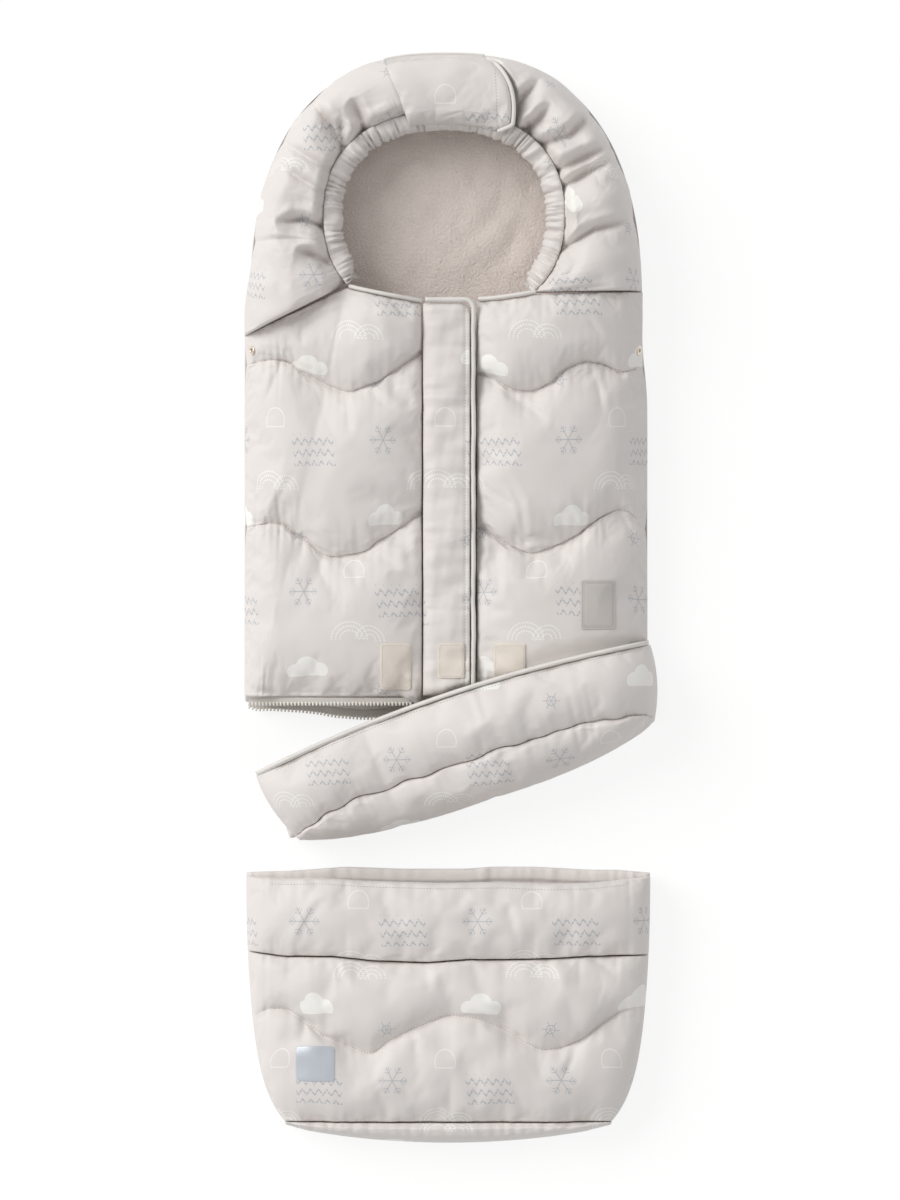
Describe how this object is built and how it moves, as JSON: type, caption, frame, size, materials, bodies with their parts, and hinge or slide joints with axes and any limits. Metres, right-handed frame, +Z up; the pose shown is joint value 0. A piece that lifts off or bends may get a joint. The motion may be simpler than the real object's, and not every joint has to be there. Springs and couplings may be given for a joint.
{
  "type": "stroller footmuff",
  "caption": "Padded child's footmuff with hood, fold-open front, unzipped foot end and separate long foot extension, lying flat.",
  "frame": {"origin": "on the underside of the bag's back, where it rests on the seat or floor", "axes": "+Z up, away from the seat; +Y towards the hood; +X to the right seen from the front"},
  "size_m": [0.4458, 1.1693, 0.111],
  "materials": {
    "shell": "woven polyester, printed, soft sheen",
    "fleece": "short-pile fleece",
    "wadding": "polyester wadding",
    "binding": "smooth folded binding",
    "zip": "moulded teeth on woven tape",
    "loop_tape": "hook-and-loop tape",
    "elastic": "covered elastic",
    "metal": "polished champagne",
    "label": "matt imitation leather",
    "reflective": "reflective film"
  },
  "bodies": {
    "bag": {"back_outer": "shell", "back_wadding": "wadding", "back_lining": "fleece", "side_left_pad": "shell", "side_left_lining": "fleece", "front_right_pad": "shell", "front_right_lining": "fleece", "neckline_binding_right": "shell", "hood_left_pad": "shell", "hood_top_pad": "shell", "hood_right_pad": "shell", "hood_lining": "fleece", "neck_casing": "shell", "neck_elastic": "elastic", "hood_flap_loop": "loop_tape", "snap_cap_left": "metal", "snap_ring_left": "metal", "snap_cap_right": "metal", "snap_ring_right": "metal", "front_zip_right": "zip", "bag_zip_back": "zip", "bag_zip_front_right": "zip", "loop_patch_right": "loop_tape", "label_patch": "label"},
    "front_left": {"front_left_pad": "shell", "front_left_lining": "fleece", "neckline_binding_left": "shell", "front_zip_left": "zip", "bag_zip_front_left": "zip", "loop_patch_left": "loop_tape"},
    "placket": {"placket_pad": "shell", "placket_binding": "binding", "loop_patch_middle": "loop_tape"},
    "front_slider": {"front_zip_slider": "metal"},
    "front_puller": {"front_zip_puller": "metal"},
    "bag_slider": {"bag_zip_slider": "metal"},
    "bag_puller": {"bag_zip_puller": "metal"},
    "hood_flap": {"hood_flap_pad": "shell", "hood_flap_binding": "binding", "hood_flap_hook": "loop_tape"},
    "foot_end": {"foot_front_pad": "shell", "foot_gusset": "shell", "foot_back_pad": "shell", "foot_lining": "fleece", "foot_rim_binding": "binding", "foot_zip": "zip"},
    "extension": {"extension_cuff": "shell", "extension_front_pad": "shell", "extension_gusset": "shell", "extension_back_pad": "shell", "extension_lining_front": "shell", "extension_lining_back": "shell", "extension_zip": "zip", "reflective_patch": "reflective"}
  },
  "joints": [
    {"name": "front_left_fold", "type": "hinge", "parent": "bag", "child": "front_left", "pos_m": [-0.1058, 0.1188, 0.094], "axis": [-0.2041, -0.9742, -0.0964], "range_deg": [0, 105]},
    {"name": "placket_lift", "type": "hinge", "parent": "front_left", "child": "placket", "pos_m": [-0.025, 0.104, 0.095], "axis": [0, -0.9977, -0.0673], "range_deg": [0, 120]},
    {"name": "front_zip_slide", "type": "slide", "parent": "front_left", "child": "front_slider", "axis": [0, 0.9982, 0.0606], "range_m": [0, 0.378]},
    {"name": "front_puller_lift", "type": "hinge", "parent": "front_slider", "child": "front_puller", "pos_m": [0.02, -0.28842, 0.04938], "axis": [1, 0, 0], "range_deg": [0, 10]},
    {"name": "bag_zip_slide", "type": "slide", "parent": "bag", "child": "bag_slider", "axis": [-1, 0, 0], "range_m": [0, 0.4]},
    {"name": "bag_puller_lift", "type": "hinge", "parent": "bag_slider", "child": "bag_puller", "pos_m": [0.2034, -0.33635, 0.015], "axis": [0, 1, 0], "range_deg": [0, 40]},
    {"name": "hood_flap_lift", "type": "hinge", "parent": "bag", "child": "hood_flap", "pos_m": [-0.04707, 0.30903, 0.1115], "axis": [0.4808, -0.8768, 0], "range_deg": [0, 110]},
    {"name": "foot_end_lift", "type": "hinge", "parent": "bag", "child": "foot_end", "pos_m": [0.2233, -0.26077, 0], "axis": [-0.3173, 0.9483, 0], "range_deg": [0, 80]},
    {"name": "extension_lift", "type": "slide", "parent": "bag", "child": "extension", "axis": [0, 0, 1], "range_m": [0, 0.3]}
  ]
}
